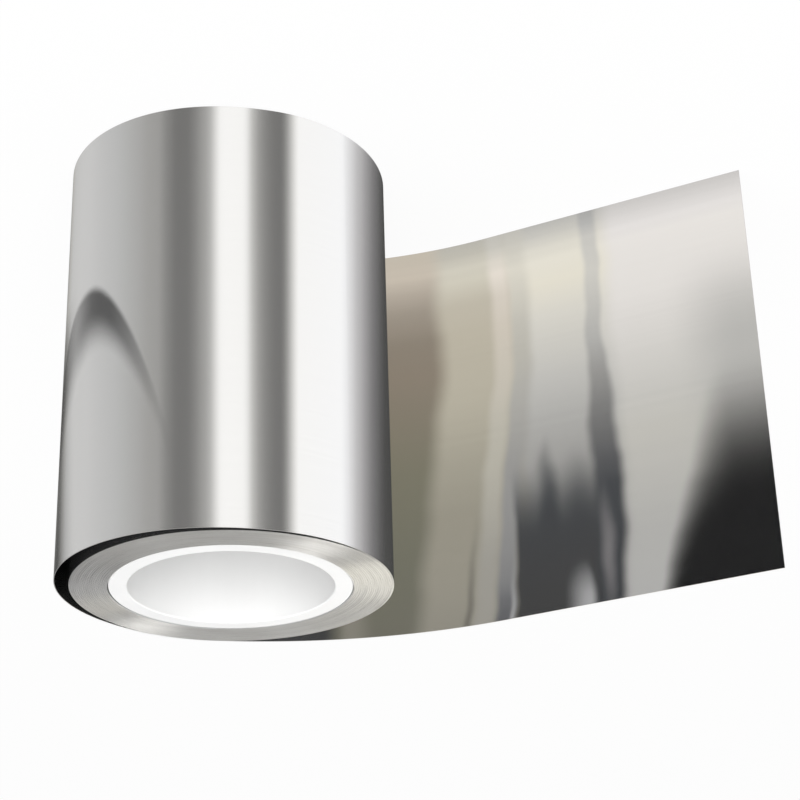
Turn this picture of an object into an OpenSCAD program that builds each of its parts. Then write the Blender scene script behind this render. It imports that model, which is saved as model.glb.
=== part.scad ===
// Roll of aluminium strip on a plastic core, standing on its end, with the outer turn sprung loose
// and the free end led off to the side.
// Frame: +Z up along the axis of the roll, origin on that axis at the floor,
// -X the way that the free end leads off.

/* [Core tube] */
// Bore of the core tube, for the mandrel
core_bore = 76.2; // [50:0.1:110]
// Wall of the core tube
core_wall = 6.8; // [2:0.1:12]

/* [Strip] */
// Width of the strip, which is the height of the roll
strip_width = 170; // [60:1:400]
// Thickness of the strip
strip_thickness = 0.3; // [0.2:0.01:0.6]
// Tight turns on the core, under the loose one
turns = 50; // [12:1:90]
// Most that one turn stands higher than another at the ends of the roll
edge_wander = 0.4; // [0.1:0.05:1.5]

/* [Loose outer turn] */
// Widest gap between the loose turn and the tight ones
loose_gap = 5.4; // [2:0.1:9]
// Direction of the widest gap, round from +X
loose_at = -33; // [-60:1:-20]
// Arc on each side of that direction over which the gap closes
loose_arc = 80; // [50:1:80]

/* [Free end] */
// Where the free end leaves the roll, round from +X
leave_at = 78; // [60:1:90]
// Radius of the curl that is left in the free end
curl_radius = 177; // [120:1:400]
// Turn of the free end before it runs straight
curl_turn = 38; // [5:1:45]
// Straight length at the end of the strip
straight_length = 112; // [20:1:400]

/* [Hidden] */

// Tight turns slide over the core with this much room all round
core_fit = 0.05;
// Share of the strip's thickness by which the loose turn sits in the outermost tight one
seated_share = 0.6;
// The inner end of the loose turn thins down to this share and dips out of sight over this arc,
// under the free end
dip_share = 0.25;
dip_arc = 16;
// Angle left between the dip and the place where the free end leaves
dip_clear = 8;
// Step of the outline round the roll and along the curl, in degrees
wrap_step = 2;
curl_step = 1;

core_r = core_bore / 2 + core_wall;
pack_bore_r = core_r + core_fit;
pack_r = pack_bore_r + turns * strip_thickness;
leave_r = pack_r - seated_share * strip_thickness;
wrap_from = leave_at + dip_clear - 360;

// Smooth step from 0 to 1
function ease(x) = let (u = min(1, max(0, x))) u * u * (3 - 2 * u);

// How far turn i has slid along the axis while it was wound, a slow swing with a quick one on it.
// The outermost tight turn runs on into the loose one, so it lies level with it.
slow_swing = 0.6;
quick_swing = 0.4;
function wander(i) = i == turns - 1 ? 0
    : edge_wander / 2 * (1 + slow_swing * sin(i * 23) + quick_swing * sin(i * 101 + 40));

// Room under the loose turn at angle a
function gap(a) = let (u = (a - loose_at) / loose_arc) abs(u) < 1 ? loose_gap * pow(1 - u * u, 2) : 0;

// Radii of the loose turn's two faces at angle a. Its inner end thins out inside the tight turns.
function inner_r(a) = leave_r + gap(a);
function outer_r(a) = inner_r(a)
    + strip_thickness * (dip_share + (1 - dip_share) * ease((a - wrap_from) / dip_arc));

function polar(r, a) = [r * cos(a), r * sin(a)];

// The free end, which curls away from the roll and then runs straight
curl_centre = polar(leave_r - curl_radius, leave_at);
run_heading = leave_at + curl_turn + 90;
function free_face(h) = concat(
    [for (a = [leave_at + curl_step : curl_step : leave_at + curl_turn])
        curl_centre + polar(curl_radius + h, a)],
    [curl_centre + polar(curl_radius + h, leave_at + curl_turn) + polar(straight_length, run_heading)]
);

// Outline of the loose turn and the free end, out along one face and back along the other
wrap_angles = [for (a = [wrap_from : wrap_step : leave_at]) a];
outer_face = concat([for (a = wrap_angles) polar(outer_r(a), a)], free_face(strip_thickness));
inner_face = concat([for (a = wrap_angles) polar(inner_r(a), a)], free_face(0));

function reversed(list) = [for (i = [len(list) - 1 : -1 : 0]) list[i]];

// Half section of the tight turns: each turn is one step, as wide as the strip is thick
module turns_section() {
    lower = [for (i = [0 : turns - 1], side = [0, 1])
        [pack_bore_r + (i + side) * strip_thickness, wander(i)]];
    upper = [for (p = reversed(lower)) [p[0], p[1] + strip_width]];
    polygon(concat(lower, upper));
}

// Tight turns, one turned solid with its bore
module tight_turns() {
    rotate_extrude($fn = 180) turns_section();
}

// Loose outer turn and free end, one band that stands on its edge
module loose_turn_and_free_end() {
    linear_extrude(height = strip_width)
        polygon(concat(outer_face, reversed(inner_face)));
}

// The whole strip, rolled in one piece
module aluminium_strip() {
    color([0.83, 0.84, 0.85]) union() {
        tight_turns();
        loose_turn_and_free_end();
    }
}

// Plain plastic tube, cut square at both ends
module core_tube() {
    color([0.95, 0.95, 0.94]) difference() {
        cylinder(h = strip_width, r = core_r, $fn = 180);
        translate([0, 0, -1]) cylinder(h = strip_width + 2, d = core_bore, $fn = 180);
    }
}

aluminium_strip();
core_tube();
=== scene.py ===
"""A roll of bright aluminium strip on a white core tube, standing on its end, free end led off."""
import math

import bpy
import numpy as np
from mathutils import Matrix, Vector


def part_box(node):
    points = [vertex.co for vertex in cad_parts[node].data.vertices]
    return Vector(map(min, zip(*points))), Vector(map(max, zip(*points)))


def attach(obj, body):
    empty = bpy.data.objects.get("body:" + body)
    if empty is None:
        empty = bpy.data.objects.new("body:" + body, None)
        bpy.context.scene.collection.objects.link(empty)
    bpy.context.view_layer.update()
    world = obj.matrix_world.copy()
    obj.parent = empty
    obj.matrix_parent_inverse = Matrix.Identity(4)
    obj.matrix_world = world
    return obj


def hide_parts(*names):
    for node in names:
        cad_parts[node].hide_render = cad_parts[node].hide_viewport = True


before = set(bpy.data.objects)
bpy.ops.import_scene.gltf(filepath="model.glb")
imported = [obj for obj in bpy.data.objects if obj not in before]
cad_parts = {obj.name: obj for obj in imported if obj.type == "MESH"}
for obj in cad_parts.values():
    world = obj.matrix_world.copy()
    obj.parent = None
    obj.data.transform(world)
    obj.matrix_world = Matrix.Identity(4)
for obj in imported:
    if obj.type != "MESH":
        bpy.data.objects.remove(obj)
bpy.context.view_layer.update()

# The photographer's camera. It looks down on the standing roll from the side that its free end
# runs past, and it is held upside down, so the roll's upper end comes out at the foot of the
# picture.
MM = 0.001
camera_place = Vector((-64.0, -693.4, 423.0)) * MM
camera_aim = Vector((-64.0, 4.0, 93.5)) * MM
camera_roll = math.radians(178.28)
lens_mm = 90.05
sensor_mm = 36

look_back = (camera_place - camera_aim).normalized()
level_right = Vector((0, 0, 1)).cross(look_back).normalized()
level_up = look_back.cross(level_right)
picture_right = math.cos(camera_roll) * level_right + math.sin(camera_roll) * level_up
picture_up = look_back.cross(picture_right)
camera_turn = Matrix((picture_right, picture_up, look_back)).transposed().to_4x4()
camera_data = bpy.data.cameras.new("camera")
camera_data.lens = lens_mm
camera_data.sensor_width = sensor_mm
camera_data.clip_start = 10 * MM
camera = bpy.data.objects.new("camera", camera_data)
camera.matrix_world = Matrix.Translation(camera_place) @ camera_turn
bpy.context.scene.collection.objects.link(camera)
bpy.context.scene.camera = camera


# The strip: one long piece of thin bright-rolled aluminium, wound turn on turn round the core.
# The outermost turn has sprung open on one side, and the free end curls away from the roll and
# runs out straight. It is swept here along its real path, so every turn is the same sheet.
core_low, core_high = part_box("core_tube")
strip_width = core_high.z
core_radius = (core_high.y - core_low.y) / 2
strip_thickness = 0.3 * MM
sheet_slack = 0.035 * MM
edge_round = 0.05 * MM

# Tight turns: their room on the core, the share of the loose turn that is seated in them, and how
# far they slide along the roll while they are wound, in swings of (swings a turn, share, start)
tight_turns = 50
core_fit = 0.05 * MM
seated_share = 0.6
edge_wander = 0.38 * MM
wander_swings = ((0.37, 0.186, 1.3), (1.13, 0.124, 0.0), (0.061, 0.186, 0.6))
level_arc = 300

# The loose turn's gap, wide at one place and a hair's breadth all along that side, and the share
# by which the tight turns are drawn in there. Angles are in degrees round from +X, and each pair
# of them is where a thing starts and where it is complete.
loose_gap = 5.3 * MM
loose_at = -33.0
loose_arc = 80.0
hair_gap = 0.3 * MM
hair_opens = (-150, -112)
hair_closes = (20, 60)
drawn_in_share = 0.072
draw_starts = (-150, -118)
draw_halves = (-95, -70)
draw_ends = (30, 70)

# The free end
leave_at = 78.0
curl_radius = 177 * MM
curl_turn = 38.0
straight_length = 112 * MM

pack_bore_radius = core_radius + core_fit
pack_radius = pack_bore_radius + (tight_turns - seated_share) * strip_thickness
turn_pitch = (pack_radius - pack_bore_radius) / tight_turns

tight_step = 2.5
loose_step = 1.25
free_step = 2 * MM
tight_rows = 2
loose_rows = 22


def eased(value, low, high):
    """Runs smoothly from 0 at low to 1 at high."""
    share = min(1, max(0, (value - low) / (high - low)))
    return share * share * (3 - 2 * share)


def drawn_in(angle):
    """Share by which the tight turns are drawn in at an angle, on the loose turn's side."""
    if angle > leave_at - 360:
        return 0
    side = (angle - leave_at) % 360 + leave_at - 360
    under_loose = 1 - 0.5 * eased(side, *draw_halves)
    return drawn_in_share * under_loose * eased(side, *draw_starts) * (1 - eased(side, *draw_ends))


def plan_of_roll(angle):
    """Radius of the strip's inner face at an angle counted along the winding, in degrees."""
    wound = pack_radius - turn_pitch * (leave_at - angle) / 360
    wound -= (wound - core_radius) * drawn_in(angle)
    from_gap = (angle - loose_at) / loose_arc
    sprung = loose_gap * (1 - from_gap**2) ** 2 if abs(from_gap) < 1 else 0
    hair = hair_gap * eased(angle, *hair_opens) * (1 - eased(angle, *hair_closes))
    return wound + math.hypot(sprung, hair)


def wander_at(angle):
    """How far the winding has slid along the roll's axis at an angle, never below the floor."""
    inside = min(1, max(0, (leave_at - level_arc - angle) / level_arc))
    swung = 0.5
    for pace, share, start in wander_swings:
        swung += share * math.sin(math.radians(angle) * pace + start)
    return edge_wander * inside * swung


def heading(angle):
    """The direction of an angle round the roll, seen from above."""
    return Vector((math.cos(math.radians(angle)), math.sin(math.radians(angle))))


def roll_point(angle):
    """Place of the strip's inner face at an angle along the winding."""
    return heading(angle) * plan_of_roll(angle)


def column_on_roll(angle):
    """Place, outward normal and slide of the strip's inner face, one column of the mesh."""
    nearby = 0.05
    ahead = roll_point(angle + nearby) - roll_point(angle - nearby)
    normal = Vector((ahead.y, -ahead.x)).normalized()
    return roll_point(angle), normal, wander_at(angle)


loose_from = leave_at - 360
wound_from = leave_at - 360 * tight_turns
tight_columns = [column_on_roll(angle) for angle in np.arange(wound_from, loose_from, tight_step)]
loose_columns = [column_on_roll(angle) for angle in np.arange(loose_from, leave_at, loose_step)]

curl_centre = roll_point(leave_at) - heading(leave_at) * curl_radius
curl_length = curl_radius * math.radians(curl_turn)
free_length = curl_length + straight_length
free_count = round(free_length / free_step)
free_runs = [free_length * i / free_count for i in range(free_count + 1)]
free_columns = []
for run in free_runs:
    normal = heading(leave_at + math.degrees(min(run, curl_length) / curl_radius))
    along_straight = Vector((-normal.y, normal.x)) * max(0, run - curl_length)
    free_columns.append((curl_centre + normal * curl_radius + along_straight, normal, 0.0))


def section(rows):
    """Outline of the strip cut across, from its inner face out: (depth, height), rounded edges."""
    full = strip_thickness - sheet_slack
    flat_width = strip_width - 2 * edge_round
    heights = [edge_round + flat_width * i / (rows - 1) for i in range(rows)]
    outer = [(full, height) for height in heights]
    inner = [(0.0, height) for height in reversed(heights)]
    top = [(full - edge_round, strip_width), (edge_round, strip_width)]
    bottom = [(edge_round, 0.0), (full - edge_round, 0.0)]
    return outer + top + inner + bottom


strip_points = []
strip_along = []
strip_faces = []
edge_faces = set()


def sweep(columns, rows, along):
    """Adds the strip's skin along the columns; returns its first and last outline and its reach."""
    outline = section(rows)
    count = len(outline)
    rings = []
    before = columns[0][0]
    for place, normal, slide in columns:
        along += (place - before).length
        before = place
        rings.append(list(range(len(strip_points), len(strip_points) + count)))
        for depth, height in outline:
            at = place + normal * depth
            strip_points.append((at.x, at.y, height + slide))
            strip_along.append(along)
    for ring, following in zip(rings, rings[1:]):
        for k in range(count):
            m = (k + 1) % count
            lower = min(outline[k][1], outline[m][1])
            upper = max(outline[k][1], outline[m][1])
            if lower >= strip_width - edge_round or upper <= edge_round:
                edge_faces.add(len(strip_faces))
            strip_faces.append((ring[k], following[k], following[m], ring[m]))
    return rings[0], rings[-1], along


def add_edge_face(corners):
    """Adds one face that belongs to the slit edge."""
    edge_faces.add(len(strip_faces))
    strip_faces.append(tuple(corners))


inner_end, tight_last, wound_length = sweep(tight_columns, tight_rows, 0.0)
loose_first, outer_end, _ = sweep(loose_columns + free_columns, loose_rows, wound_length)

# Where the mesh goes over to more rows, one face on each side of the sheet takes up the rows, and
# the faces of the two slit edges, three to an edge, go straight on
tight_inner = tight_rows + 2
loose_inner = loose_rows + 2
inner_rows = loose_first[loose_inner : loose_inner + loose_rows]
strip_faces.append((tight_last[0], *loose_first[:loose_rows], tight_last[1]))
strip_faces.append((tight_last[tight_inner], *inner_rows, tight_last[tight_inner + 1]))
for tight_corner, loose_corner in ((tight_rows - 1, loose_rows - 1), (-3, -3)):
    for k in range(3):
        near = (tight_last[tight_corner + k], loose_first[loose_corner + k])
        far = (loose_first[loose_corner + k + 1], tight_last[tight_corner + k + 1])
        add_edge_face(near + far)
add_edge_face(inner_end)
add_edge_face(reversed(outer_end))


sharp_from = math.radians(28)


def piece_of(name, points, faces):
    """An object of points and faces, shaded smooth up to its sharp corners."""
    mesh = bpy.data.meshes.new(name)
    mesh.from_pydata(points, [], faces)
    mesh.update()
    mesh.polygons.foreach_set("use_smooth", [True] * len(mesh.polygons))
    mesh.set_sharp_from_angle(angle=sharp_from)
    piece = bpy.data.objects.new(name, mesh)
    bpy.context.scene.collection.objects.link(piece)
    return piece


strip = piece_of("wound_strip", strip_points, strip_faces)
unrolled = strip.data.uv_layers.new(name="unrolled")
corner_points = np.empty(len(strip.data.loops), dtype=np.int32)
strip.data.loops.foreach_get("vertex_index", corner_points)
strip_heights = np.array(strip_points)[:, 2]
flat_map = np.column_stack((np.array(strip_along)[corner_points], strip_heights[corner_points]))
unrolled.data.foreach_set("uv", flat_map.ravel())


def open_tree(owner):
    """Starts an empty node tree on a material or the world, for the node helpers to add to."""
    owner.use_nodes = True
    owner.node_tree.nodes.clear()
    return owner.node_tree.nodes, owner.node_tree.links


def plug(value, socket):
    """Gives a socket a number or a colour, or links it to another socket."""
    if isinstance(value, (int, float)):
        socket.default_value = value
    elif isinstance(value, (tuple, list)):
        socket.default_value = (*value, 1)
    else:
        links.new(value, socket)


def put_out(shader, kind="ShaderNodeOutputMaterial"):
    """Makes a shader the surface of the tree at hand."""
    out = nodes.new(kind)
    links.new(shader, out.inputs["Surface"])


def worked(kind, *given):
    """A sum worked out by a Math node, from numbers or sockets."""
    node = nodes.new("ShaderNodeMath")
    node.operation = kind
    for value, socket in zip(given, node.inputs):
        plug(value, socket)
    return node.outputs["Value"]


def ranged(value, low, high, to_low, to_high, kind="LINEAR"):
    """A value carried over from one range to another, and held at the ends."""
    node = nodes.new("ShaderNodeMapRange")
    node.interpolation_type = kind
    ends = {"From Min": low, "From Max": high, "To Min": to_low, "To Max": to_high}
    for name, number in ends.items():
        node.inputs[name].default_value = number
    links.new(value, node.inputs["Value"])
    return node.outputs["Result"]


def grain(seen_in, scales, detail):
    """Noise over the coordinates of a socket, stretched by a scale for each of them."""
    stretch = nodes.new("ShaderNodeMapping")
    stretch.inputs["Scale"].default_value = scales
    links.new(seen_in, stretch.inputs["Vector"])
    noise = nodes.new("ShaderNodeTexNoise")
    noise.inputs["Scale"].default_value = 1
    noise.inputs["Detail"].default_value = detail
    links.new(stretch.outputs["Vector"], noise.inputs["Vector"])
    return noise.outputs["Fac"]


def spread(noise, low, high):
    """Noise carried over to a range, with its rare lows and highs cut off."""
    return ranged(noise, 0.3, 0.7, low, high)


def laid(under, over, mask):
    """One colour laid over another where the mask is 1."""
    node = nodes.new("ShaderNodeMix")
    node.data_type = "RGBA"
    links.new(mask, node.inputs["Factor"])
    plug(under, node.inputs["A"])
    plug(over, node.inputs["B"])
    return node.outputs["Result"]


def brushed_metal(metallic, anisotropic):
    """Metal whose highlights are drawn out across its grain, as the surface of the tree."""
    shader = nodes.new("ShaderNodeBsdfPrincipled")
    shader.inputs["Metallic"].default_value = metallic
    shader.inputs["Anisotropic"].default_value = anisotropic
    shader.inputs["Anisotropic Rotation"].default_value = 0.25
    put_out(shader.outputs["BSDF"])
    return shader


# Bright sheet: the rolls have left fine lines along its length
bright_low = (0.892, 0.892, 0.897)
bright_high = (0.908, 0.908, 0.913)
aluminium = bpy.data.materials.new("bright_rolled_aluminium")
nodes, links = open_tree(aluminium)
sheet_metal = brushed_metal(0.985, 0.7)
sheet_map = nodes.new("ShaderNodeUVMap")
sheet_map.uv_map = "unrolled"
along_sheet = nodes.new("ShaderNodeTangent")
along_sheet.direction_type = "UV_MAP"
along_sheet.uv_map = "unrolled"
links.new(along_sheet.outputs["Tangent"], sheet_metal.inputs["Tangent"])
rolling_lines = grain(sheet_map.outputs["UV"], (1.6, 900, 1), 4)
cloudy = grain(sheet_map.outputs["UV"], (9, 14, 1), 2)
sheet_tone = laid(bright_low, bright_high, spread(rolling_lines, 0, 1))
links.new(sheet_tone, sheet_metal.inputs["Base Color"])
lined_haze = spread(rolling_lines, 0.045, 0.08)
cloudy_haze = ranged(cloudy, 0.35, 0.65, 0.01, 0.03)
links.new(worked("ADD", lined_haze, cloudy_haze), sheet_metal.inputs["Roughness"])
strip.data.materials.append(aluminium)

# Slit edges: a duller satin, with soft rub marks that run round the roll
satin_low = (0.76, 0.75, 0.735)
satin_high = (0.97, 0.967, 0.958)
slit_edge = bpy.data.materials.new("slit_edge_aluminium")
nodes, links = open_tree(slit_edge)
edge_metal = brushed_metal(0.97, 0.95)
edge_place = nodes.new("ShaderNodeTexCoord")
edge_parts = nodes.new("ShaderNodeSeparateXYZ")
links.new(edge_place.outputs["Object"], edge_parts.inputs["Vector"])
edge_x = edge_parts.outputs["X"]
edge_y = edge_parts.outputs["Y"]
edge_squares = worked("ADD", worked("POWER", edge_x, 2.0), worked("POWER", edge_y, 2.0))
edge_radius = worked("SQRT", edge_squares)
polar = nodes.new("ShaderNodeCombineXYZ")
links.new(worked("DIVIDE", edge_x, edge_radius), polar.inputs["X"])
links.new(worked("DIVIDE", edge_y, edge_radius), polar.inputs["Y"])
links.new(edge_radius, polar.inputs["Z"])
round_the_roll = nodes.new("ShaderNodeCombineXYZ")
links.new(worked("MULTIPLY", edge_y, -1.0), round_the_roll.inputs["X"])
links.new(edge_x, round_the_roll.inputs["Y"])
along_edge = nodes.new("ShaderNodeVectorTransform")
along_edge.vector_type = "VECTOR"
along_edge.convert_from = "OBJECT"
along_edge.convert_to = "WORLD"
links.new(round_the_roll.outputs["Vector"], along_edge.inputs["Vector"])
links.new(along_edge.outputs["Vector"], edge_metal.inputs["Tangent"])
rubs = grain(polar.outputs["Vector"], (2.2, 2.2, 260), 3)
patches = grain(edge_place.outputs["Object"], (26, 26, 26), 3)
edge_tone = worked("ADD", spread(rubs, 0, 0.45), spread(patches, 0, 0.55))
links.new(laid(satin_low, satin_high, edge_tone), edge_metal.inputs["Base Color"])
links.new(spread(rubs, 0.32, 0.42), edge_metal.inputs["Roughness"])
strip.data.materials.append(slit_edge)
edge_index = [1 if i in edge_faces else 0 for i in range(len(strip_faces))]
strip.data.polygons.foreach_set("material_index", edge_index)

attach(strip, "root")
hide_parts("aluminium_strip")


# The core: a plain extruded tube of white plastic, sawn square at both ends with the burr taken
# off. The strip is wound straight on it, and its bore is what a spindle goes through.
core_bore_radius = 38.1 * MM
core_chamfer = 0.4 * MM
core_segments = 192

core_profile = [
    (core_bore_radius + core_chamfer, 0.0),
    (core_radius - core_chamfer, 0.0),
    (core_radius, core_chamfer),
    (core_radius, strip_width - core_chamfer),
    (core_radius - core_chamfer, strip_width),
    (core_bore_radius + core_chamfer, strip_width),
    (core_bore_radius, strip_width - core_chamfer),
    (core_bore_radius, core_chamfer),
]
profile_count = len(core_profile)
core_points = []
core_faces = []
for i in range(core_segments):
    way = heading(360 * i / core_segments)
    core_points += [(way.x * radius, way.y * radius, height) for radius, height in core_profile]
    here = i * profile_count
    following = (i + 1) % core_segments * profile_count
    for k in range(profile_count):
        m = (k + 1) % profile_count
        core_faces.append((here + k, following + k, following + m, here + m))
core = piece_of("white_core", core_points, core_faces)

plastic_low = (0.915, 0.915, 0.91)
plastic_high = (0.945, 0.945, 0.94)
white_plastic = bpy.data.materials.new("white_core_plastic")
nodes, links = open_tree(white_plastic)
plastic = nodes.new("ShaderNodeBsdfPrincipled")
put_out(plastic.outputs["BSDF"])
plastic_place = nodes.new("ShaderNodeTexCoord")
drawn_lines = grain(plastic_place.outputs["Object"], (60, 60, 4), 3)
plastic_tone = laid(plastic_low, plastic_high, spread(drawn_lines, 0, 1))
links.new(plastic_tone, plastic.inputs["Base Color"])
links.new(spread(drawn_lines, 0.36, 0.5), plastic.inputs["Roughness"])
core.data.materials.append(white_plastic)

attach(core, "root")
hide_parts("core_tube")


# The floor: a plain pale sheet that the roll stands on. It is seen almost pure white and keeps
# only the roll's soft shadow.
floor_reach = 6.0
floor_drop = 0.3 * MM
shadow_share = 0.07
pale = (0.92, 0.92, 0.92)
pure_white = (1.0, 1.0, 1.0)

floor_corners = [(x * floor_reach, y * floor_reach, 0) for x, y in ((-1, -1), (1, -1), (1, 1), (-1, 1))]
floor_mesh = bpy.data.meshes.new("floor")
floor_mesh.from_pydata(floor_corners, [], [(0, 1, 2, 3)])
floor = bpy.data.objects.new("floor", floor_mesh)
floor.location.z = -floor_drop
floor.visible_glossy = False
bpy.context.scene.collection.objects.link(floor)


def lit(colour):
    """A shader that gives off a colour as it is."""
    glow = nodes.new("ShaderNodeEmission")
    plug(colour, glow.inputs["Color"])
    return glow.outputs["Emission"]


def either(share, first, second):
    """Two shaders mixed: the first where the share is 0 and the second where it is 1."""
    mix = nodes.new("ShaderNodeMixShader")
    plug(share, mix.inputs["Fac"])
    links.new(first, mix.inputs[1])
    links.new(second, mix.inputs[2])
    return mix.outputs["Shader"]


floor_paint = bpy.data.materials.new("pale_floor")
nodes, links = open_tree(floor_paint)
shaded = nodes.new("ShaderNodeBsdfDiffuse")
plug(pale, shaded.inputs["Color"])
faint_shadow = either(shadow_share, lit(pure_white), shaded.outputs["BSDF"])
floor_path = nodes.new("ShaderNodeLightPath")
put_out(either(floor_path.outputs["Is Camera Ray"], shaded.outputs["BSDF"], faint_shadow))
floor_mesh.materials.append(floor_paint)


# The studio round the roll: even white light from all round, two soft lamps, and a ring of tall
# soft cards under a pale ceiling. The cards show only in the metal, as its upright bands.
metal_share = 0.93
even_strength = 0.6
lamp_aim = Vector((-0.05, 0, 0.1))


def shown(level, warm=0.0, pink=0.0):
    """Light that the metal shows at this level out of 255, a little warm or pink where asked."""
    tones = (level * (1 + 0.25 * warm + pink), level, level * (1 - 0.8 * warm))
    return [(tone / 255) ** 2.2 / metal_share for tone in tones]


def ramp(value, *stops):
    """Colour by a value, from stops of (value, level, warmth, pinkness) in rising order."""
    low = stops[0][0]
    high = stops[-1][0]
    node = nodes.new("ShaderNodeValToRGB")
    elements = node.color_ramp.elements
    for i, (at, *tone) in enumerate(stops):
        stop = elements[i] if i < 2 else elements.new(1.0)
        stop.position = (at - low) / (high - low)
        stop.color = (*shown(*tone), 1)
    links.new(ranged(value, low, high, 0, 1), node.inputs["Fac"])
    return node.outputs["Color"]


def product(*factors):
    """All the factors multiplied together."""
    whole = factors[0]
    for factor in factors[1:]:
        whole = worked("MULTIPLY", whole, factor)
    return whole


def soft(value, low, high):
    """Runs smoothly from 0 at low to 1 at high, either way round."""
    if high > low:
        return ranged(value, low, high, 0, 1, "SMOOTHSTEP")
    return ranged(value, high, low, 1, 0, "SMOOTHSTEP")


def oval(places, middle, reach):
    """1 at the middle of a soft oval spot and 0 from its rim outwards, by two coordinates."""
    squares = []
    for place, centre, half in zip(places, middle, reach):
        share = worked("DIVIDE", worked("SUBTRACT", place, centre), half)
        squares.append(worked("POWER", share, 2.0))
    return soft(worked("SQRT", worked("ADD", *squares)), 1, 0)


def background(colour, strength=1.0):
    """A shader for the world that shines in a colour."""
    shine = nodes.new("ShaderNodeBackground")
    plug(colour, shine.inputs["Color"])
    shine.inputs["Strength"].default_value = strength
    return shine.outputs["Background"]


world = bpy.data.worlds.new("studio")
bpy.context.scene.world = world
nodes, links = open_tree(world)
direction = nodes.new("ShaderNodeTexCoord")
split = nodes.new("ShaderNodeSeparateXYZ")
links.new(direction.outputs["Generated"], split.inputs["Vector"])
to_free_end = worked("MULTIPLY", split.outputs["X"], -1.0)
to_camera = worked("MULTIPLY", split.outputs["Y"], -1.0)
plain_bearing = worked("MULTIPLY", worked("ARCTAN2", to_free_end, to_camera), math.degrees(1))
climb = worked("MULTIPLY", worked("ARCSINE", split.outputs["Z"]), math.degrees(1))

# The cards lean a little, each by its own bearing, so that their bands stand upright on the roll,
# which mirrors only the heights between these two. Bearings and heights are in degrees.
mirrored_low = -33.3
mirrored_high = -17.3
lean_growth = 0.0095
lean_in_front = -0.33
lean_reach = 8
lean = worked("MULTIPLY_ADD", plain_bearing, lean_growth, lean_in_front)
rise = ranged(climb, mirrored_low, mirrored_high, -lean_reach, lean_reach)
bearing = worked("MULTIPLY_ADD", lean, rise, plain_bearing)
far_lean = product(soft(plain_bearing, 94, 110), ranged(climb, -33, -17, -21, -1))
bearing = worked("ADD", bearing, far_lean)

# Left in the picture, from behind the roll to its front: the back wall, a wide pale card, a dark
# one, and the start of a white one
cards_meet = 15
left_cards = ramp(
    bearing,
    (-180, 232, 0.02),
    (-170, 206, 0.02),
    (-160, 165, 0.024),
    (-152, 170, 0.024),
    (-144, 188, 0.024),
    (-136, 197.5, 0.012),
    (-104, 197.5, 0.01),
    (-72, 184, 0.01, -0.002),
    (-51, 166, 0.018),
    (-45, 158.5, 0.024),
    (-36, 152.5, 0.024),
    (-30, 131, 0.024),
    (-24, 114, 0.024),
    (-21, 111.5, 0.024),
    (-15, 113, 0.024),
    (-12, 122, 0.024),
    (-9, 134, 0.024),
    (-3, 161, 0.024),
    (0, 181, 0.02),
    (3, 218, 0.02),
    (6, 246, 0.015),
    (9, 248.5, 0.015),
    (cards_meet, 248, 0.015),
)
# Right in the picture, from the front to behind the roll: the rest of the white card, a dark one,
# and a wide white one that darkens before the back wall
right_cards = ramp(
    bearing,
    (cards_meet, 248, 0.015),
    (19, 247, 0.015),
    (21, 237, 0.015),
    (24, 187, 0.025),
    (27, 151, 0.024),
    (30, 131, 0.024),
    (33, 119, 0.024),
    (36, 113, 0.024),
    (39.5, 112, 0.024),
    (42, 128, 0.024),
    (45, 161, 0.024),
    (51, 233, 0.02),
    (53.5, 248.5, 0.012),
    (90, 250, 0.002),
    (93, 245, 0.0),
    (100.3, 220, -0.002, 0.005),
    (114.6, 170, -0.002, 0.008),
    (132, 116, 0.0, 0.008),
    (146, 90, 0.01),
    (156, 92, 0.02),
    (164, 140, 0.02),
    (171, 205, 0.02),
    (180, 232, 0.02),
)
cards = laid(left_cards, right_cards, worked("GREATER_THAN", bearing, cards_meet))

# A pale ceiling, dimmer at the back, with one soft window that lights two sectors of the end face
dim_middle = (188.0, 50.0)
dim_reach = (24, 26)
window_middle = (95.0, 57.0)
window_reach = (12, 14)
window_stretch = 0.68
ceiling = ramp(climb, (0, 150, 0.02), (25, 168, 0.02), (60, 186, 0.02), (90, 196, 0.02))
whole_bearing = worked("WRAP", plain_bearing, 360.0, 0.0)
ceiling = laid(ceiling, shown(55, 0.02), oval((whole_bearing, climb), dim_middle, dim_reach))
window_bearing = worked("MULTIPLY", plain_bearing, window_stretch)
ceiling = laid(ceiling, shown(680, 0.02), oval((window_bearing, climb), window_middle, window_reach))
cards = laid(cards, ceiling, soft(climb, 0, 12))

world_path = nodes.new("ShaderNodeLightPath")
even_light = background(pure_white, even_strength)
cards_or_even = either(world_path.outputs["Is Glossy Ray"], even_light, background(cards))
white_or_light = either(world_path.outputs["Is Camera Ray"], cards_or_even, background(pure_white))
put_out(white_or_light, "ShaderNodeOutputWorld")


def hang_lamp(name, place, width, depth, power):
    """A soft lamp aimed at the roll, which itself doesn't show in the metal."""
    lamp = bpy.data.lights.new(name, "AREA")
    lamp.shape = "RECTANGLE"
    lamp.size = width
    lamp.size_y = depth
    lamp.energy = power
    holder = bpy.data.objects.new(name, lamp)
    holder.location = place
    holder.rotation_euler = (lamp_aim - holder.location).to_track_quat("-Z", "Y").to_euler()
    holder.visible_glossy = False
    bpy.context.scene.collection.objects.link(holder)


hang_lamp("top_soft_box", (0.2, -0.9, 1.6), 1.6, 1.0, 14.5)
hang_lamp("low_soft_box", (-0.3, -1.5, 0.55), 1.2, 0.6, 12.1)


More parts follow.
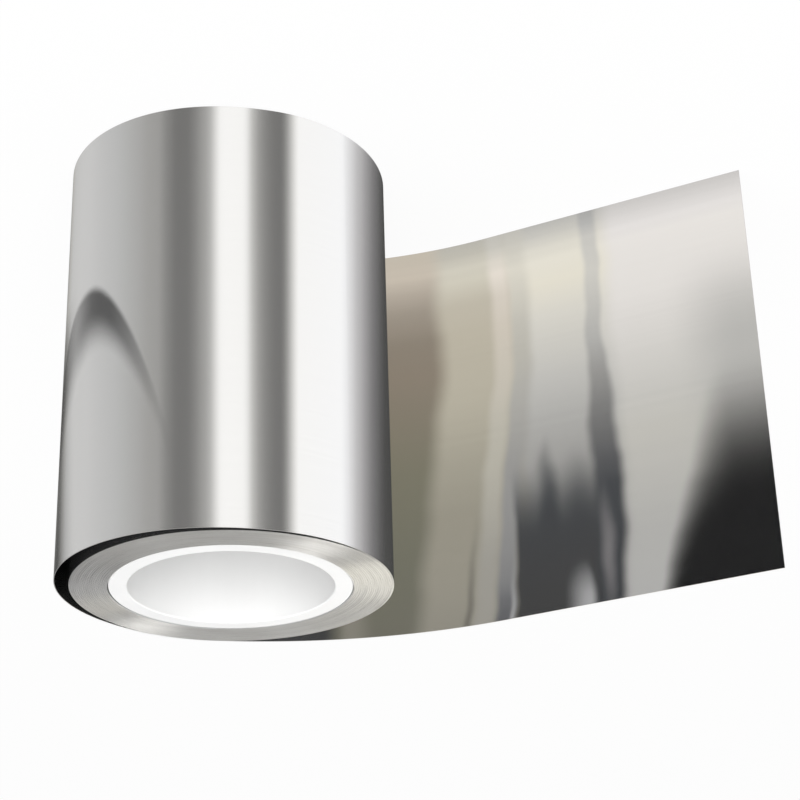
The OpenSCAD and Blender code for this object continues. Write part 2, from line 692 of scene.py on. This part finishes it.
# The panels: painted sheets that hang close to the roll, seen by nothing but the metal. Each is
# an upright sheet that follows a line on the floor, with millimetres as its map.
def hang_panel(name, line, low, high):
    """A panel along a line of (place, distance along) between two heights, ready to be painted."""
    points = []
    for place, _ in line:
        points.append((place.x, place.y, low))
        points.append((place.x, place.y, high))
    faces = [(2 * i, 2 * i + 2, 2 * i + 3, 2 * i + 1) for i in range(len(line) - 1)]
    mesh = bpy.data.meshes.new(name)
    mesh.from_pydata(points, [], faces)
    layer = mesh.uv_layers.new(name="millimetres")
    for loop in mesh.loops:
        upright = high if loop.vertex_index % 2 else low
        layer.data[loop.index].uv = (line[loop.vertex_index // 2][1], upright / MM)
    panel = bpy.data.objects.new(name, mesh)
    for way in ("camera", "diffuse", "transmission", "volume_scatter", "shadow"):
        setattr(panel, "visible_" + way, False)
    bpy.context.scene.collection.objects.link(panel)
    return panel


def paint_on(panel, name):
    """A new material on a panel."""
    paint = bpy.data.materials.new(name)
    panel.data.materials.append(paint)
    return paint


def panel_map():
    """The map of the panel whose paint is at hand, with its distances along and its heights."""
    flat = nodes.new("ShaderNodeUVMap")
    flat.uv_map = "millimetres"
    parts = nodes.new("ShaderNodeSeparateXYZ")
    links.new(flat.outputs["UV"], parts.inputs["Vector"])
    return flat.outputs["UV"], parts.outputs["X"], parts.outputs["Y"]


# Behind the roll, lighter towards the free end: it shades the end face across
back_away = 160
back_reach = 300
back_step = 20
back_runs = range(back_reach, -back_reach - 1, -back_step)
back_line = [(Vector((run, back_away)) * MM, run) for run in back_runs]
back_panel = hang_panel("back_panel", back_line, 150 * MM, 290 * MM)
nodes, links = open_tree(paint_on(back_panel, "shaded_back_panel"))
_, along, height = panel_map()
low_tone = ramp(
    along,
    (-200, 246, 0.06),
    (-80, 246, 0.06),
    (-30, 250, 0.05),
    (8, 178, 0.01),
    (30, 168, 0.0),
    (80, 196, 0.0),
    (200, 214, 0.01),
)
high_tone = ramp(
    along,
    (-200, 250, 0.06),
    (-80, 240, 0.06),
    (-30, 244, 0.05),
    (0, 178, 0.02),
    (35, 92, 0.0),
    (75, 116, 0.0),
    (110, 196, 0.0),
    (200, 216, 0.01),
)
put_out(lit(laid(low_tone, high_tone, soft(height, 215, 245))))


# In front of the free end: the sheet mirrors the room painted on one side of a board, and the roll
# mirrors the plain other side, so all of its tones are painted reflection, light, shade and highlights
# alike. It starts close to the sheet and soon stands 6 mm off.
def past(value, start, slope=1.0):
    """How far a value has gone past a start, times a slope, and 0 before it."""
    return product(worked("MAXIMUM", worked("SUBTRACT", value, start), 0.0), slope)


def short_of(value, end, slope=1.0):
    """How far a value still is from an end, times a slope, and 0 beyond it."""
    return product(worked("MAXIMUM", worked("SUBTRACT", end, value), 0.0), slope)


def between(value, start, full, fading, end):
    """A soft stripe: 0 up to its start, 1 from full to fading, and 0 from its end."""
    return product(soft(value, start, full), soft(value, end, fading))


board_from = 16
board_beyond = 16
most_stand_off = 6.0
stand_off_growth = 0.0024

board_line = []
for run, (place, normal, _) in zip(free_runs, free_columns):
    run_mm = run / MM
    if run_mm >= board_from:
        stand_off = min(most_stand_off, stand_off_growth * run_mm**2) * MM
        board_line.append((place - normal * stand_off, run_mm))
straight_on = (free_columns[-1][0] - free_columns[-2][0]).normalized()
last_place, last_run = board_line[-1]
board_line.append((last_place + straight_on * board_beyond * MM, last_run + board_beyond))
board = hang_panel("board_by_free_end", board_line, -200 * MM, strip_width)
nodes, links = open_tree(paint_on(board, "painted_board"))
board_place, straight_along, height = panel_map()
ripple = grain(board_place, (0.012, 0.03, 1), 2)
along = worked("ADD", straight_along, ranged(ripple, 0.25, 0.75, -1.8, 1.8))

# Pale wall at the back, duller upwards
wall = ramp(
    height,
    (-5, 180, 0.03),
    (2, 199, 0.05),
    (8, 217, 0.07),
    (15, 226, 0.08),
    (25, 224, 0.09),
    (40, 212, 0.06),
    (70, 188, 0.035),
    (85, 173, 0.03),
    (100, 160, 0.03),
    (120, 150, 0.03),
    (170, 140, 0.03),
)
# Beige curtain nearest to the roll
curtain = ramp(
    height,
    (-5, 180, 0.06),
    (2, 189, 0.08),
    (8, 205, 0.09),
    (15, 203, 0.1),
    (25, 185, 0.11, 0.01),
    (40, 180, 0.12, 0.01),
    (70, 175, 0.12, 0.005),
    (100, 156, 0.12),
    (120, 145, 0.12),
    (150, 143, 0.11),
    (170, 136, 0.1),
)
room = laid(wall, curtain, soft(along, 131, 122))
# Its shaded fold, brown at the foot and olive above
fold = ramp(
    height,
    (-5, 186, 0.1, 0.02),
    (8, 190, 0.1, 0.03),
    (15, 171, 0.1, 0.035),
    (25, 148, 0.11, 0.035),
    (40, 129, 0.13, 0.04),
    (55, 126, 0.14, 0.045),
    (100, 117, 0.17, -0.02),
    (140, 110, 0.15, -0.03),
    (170, 106, 0.13, -0.02),
)
fold_lean = 0.125
fold_along = worked("ADD", along, past(height, 65, fold_lean))
room = laid(room, fold, soft(fold_along, 98, 88))
# Close to the roll, a painted light crease and then painted shade between the two
room = laid(room, shown(126, 0.1), between(straight_along, 48, 53, 54, 64))
room = laid(room, shown(62), soft(straight_along, 51, 43))
# Lit slat that leans away, with a grey reveal behind it
slat_lean = 0.13
slat_along = worked("ADD", along, past(height, 62, slat_lean))
reveal = ramp(
    height,
    (-5, 188, 0.05),
    (15, 216, 0.08),
    (40, 190, 0.07),
    (55, 181, 0.07),
    (70, 173, 0.05),
    (100, 151, 0.03),
    (140, 134, 0.01),
    (152, 124, 0.0),
    (160, 104, -0.02),
    (170, 88, -0.03),
)
room = laid(room, reveal, between(slat_along, 122, 126, 130, 136))
slat = ramp(
    height,
    (-5, 190, 0.05),
    (2, 198, 0.06),
    (8, 213, 0.07, 0.01),
    (15, 222, 0.07, 0.02),
    (25, 206, 0.08, 0.02),
    (40, 198, 0.09, 0.02),
    (70, 189, 0.09, 0.01),
    (85, 181, 0.09),
    (100, 176, 0.09),
    (140, 152, 0.07),
    (170, 148, 0.07),
)
room = laid(room, slat, between(slat_along, 113.5, 118.5, 121.5, 126.5))
# Dark line on its near side and a light one on its far side, both only high up
near_line = between(slat_along, 111, 113.5, 113.5, 116)
room = laid(room, shown(108, 0.1), product(near_line, soft(height, 115, 172)))
far_line = between(slat_along, 129.5, 131.5, 131.5, 133.5)
room = laid(room, shown(150), product(far_line, soft(height, 138, 168)))
# Bright wall on the far side of the post
far_wall = ramp(
    height,
    (-5, 196, 0.02, 0.01),
    (8, 225, 0.02, 0.012),
    (15, 229, 0.03, 0.01),
    (40, 223, 0.03, 0.01),
    (85, 195, 0.04),
    (100, 189, 0.05),
    (140, 173, 0.03),
    (170, 172, 0.02),
)
door_lean = 0.11
door_along = worked("ADD", along, past(height, 142, door_lean))
room = laid(room, far_wall, soft(door_along, 163, 173))


def peak(middle, half_width, rise):
    """A soft peak of a rise in millimetres, at a place along the board."""
    away = worked("ABSOLUTE", worked("SUBTRACT", along, middle))
    return product(soft(away, half_width, 0), rise)


# Dark doorway with a broken lower line
door_height = worked("ADD", height, worked("ADD", peak(137.0, 6, 11.0), peak(149.5, 8, 4.0)))
outside_door = worked("POWER", soft(door_height, 144, 101), 2.0)
across_door = between(door_along, 120.5, 124, 160, 166)
door_tone = ramp(height, (110, 65, -0.06, -0.03), (150, 62, -0.01), (170, 60, 0.01))
room = laid(room, door_tone, product(worked("SUBTRACT", 1.0, outside_door), across_door))
# Post beside it, faint at the foot and nearly black above
post_half = ranged(height, 50, 100, 3.4, 5.6, "SMOOTHSTEP")
post_middle = ranged(height, 95, 130, 161.2, 162.4, "SMOOTHSTEP")
post_away = worked("ABSOLUTE", worked("SUBTRACT", door_along, post_middle))
post = ramp(
    height,
    (-5, 165, 0.02),
    (2, 180, 0.02),
    (8, 199, 0.04),
    (25, 204, 0.05),
    (55, 175, 0.03),
    (70, 149, 0.03),
    (85, 123, 0.02),
    (110, 84, -0.02),
    (120, 67, -0.04, -0.02),
    (170, 60, -0.05, -0.02),
)
room = laid(room, post, soft(worked("DIVIDE", post_away, post_half), 1.45, 0.55))
# Two glints in the doorway, painted highlights that the sheet mirrors: one broad towards the roll and
# narrow away from it, one thin and leaning
glint_middle = (150.5, 167.0)
glint_reach = (6.4, 20)
glint_along = worked("ADD", along, short_of(along, glint_middle[0], 0.45))
glint_along = worked("ADD", glint_along, past(along, glint_middle[0], 0.5))
room = laid(room, shown(160), oval((glint_along, height), glint_middle, glint_reach))
sliver_middle = (152.2, 147.0)
sliver_reach = (4.6, 34)
sliver_along = worked("MULTIPLY_ADD", height, -0.06, door_along)
room = laid(room, shown(110, -0.01, 0.02), oval((sliver_along, height), sliver_middle, sliver_reach))
# Dark corner beyond the end of the sheet, with a grey haze over it
haze = product(soft(along, 190, 220), soft(height, 22, 72), 0.9)
room = laid(room, shown(178, 0.03), haze)
corner_from = 213.0
corner_height = 108.0
corner_sweep = worked("POWER", short_of(along, corner_from), 1.6)
corner_line = worked("MULTIPLY_ADD", corner_sweep, 0.27, corner_height)
corner_width = ranged(along, 180, 206, 13, 30)
corner_depth = worked("DIVIDE", worked("SUBTRACT", height, corner_line), corner_width)
outside_corner = worked("POWER", soft(corner_depth, 1.2, -1.1), 2.0)
room = laid(shown(4, -0.05, -0.03), room, outside_corner)

# The side towards the roll is plain, dark close by and white far out, and its tones lean: the roll
# shows it as a painted reflection in place of the free end
side_lean = -0.185
side_along = worked("MULTIPLY_ADD", height, side_lean, straight_along)
roll_side = ramp(
    side_along,
    (16, 60, 0.02),
    (91, 76, 0.02),
    (104, 88.5, 0.01, 0.005),
    (130.5, 118.5, 0.0, 0.01),
    (158.5, 155.5, 0.0, 0.01),
    (174, 175, 0.0, 0.01),
    (192, 190, 0.0, 0.008),
    (212, 211, 0.0, 0.005),
    (258, 240),
)
facing = nodes.new("ShaderNodeNewGeometry")
put_out(either(facing.outputs["Backfacing"], lit(room), lit(roll_side)))


# By the side of the roll away from its free end: a clear film that only the metal sees, with painted
# shade in one bow and along one edge, which darkens the roll's reflection there. It bends round the
# roll, and its map goes along in degrees round from +X.
film_radius = 76 * MM
film_line = [(heading(turn) * film_radius, turn) for turn in range(-110, 31, 2)]
film = hang_panel("film_by_roll", film_line, -20 * MM, 190 * MM)
nodes, links = open_tree(paint_on(film, "film_of_painted_shade"))
_, turn_at, height = panel_map()

# The bow rises from its crown on both sides, steeply on one and slowly on the other, and it
# fades upwards over a depth that grows round the roll
crown_turn = -28.0
crown_height = 57.0
steep_rise = 0.036
slow_rise = 0.0145
depth_turn = -31.0
depth_there = 31.0
steep_leg = product(worked("POWER", short_of(turn_at, crown_turn), 2.0), steep_rise)
slow_leg = product(worked("POWER", past(turn_at, crown_turn), 2.0), slow_rise)
bow_line = worked("ADD", worked("ADD", steep_leg, slow_leg), crown_height)
over_bow = worked("SUBTRACT", height, bow_line)
from_depth_turn = worked("SUBTRACT", turn_at, depth_turn)
bow_depth = worked("MULTIPLY_ADD", from_depth_turn, 0.5, depth_there)
bow_depth = worked("ADD", bow_depth, past(turn_at, depth_turn, 0.2))
bow = product(soft(over_bow, -1.8, 3), soft(worked("DIVIDE", over_bow, bow_depth), 1.0, 0.33))
bow_ends = between(turn_at, -76, -42, 17, 29.5)
bow_strength = product(bow_ends, ranged(turn_at, -36, -14, 0.82, 0.46, "SMOOTHSTEP"))
beside_bow = worked("SUBTRACT", 1.0, product(bow, bow_strength))

# A second band of painted shade in the roll's reflection, along the film's edge
edge_turn = worked("ADD", turn_at, past(height, 104, 0.12))
painted_shade_edge = product(
    soft(edge_turn, -21, 8),
    soft(turn_at, 29, 12),
    ranged(height, 108, 156, 0.58, 0.78),
    ranged(height, 44, 70, 0.2, 1, "SMOOTHSTEP"),
)
clearness = product(beside_bow, worked("SUBTRACT", 1.0, painted_shade_edge))
tint = nodes.new("ShaderNodeCombineColor")
for channel in ("Red", "Green", "Blue"):
    links.new(clearness, tint.inputs[channel])
see_through = nodes.new("ShaderNodeBsdfTransparent")
links.new(tint.outputs["Color"], see_through.inputs["Color"])
put_out(see_through.outputs["BSDF"])

bpy.context.scene.view_settings.view_transform = "Standard"
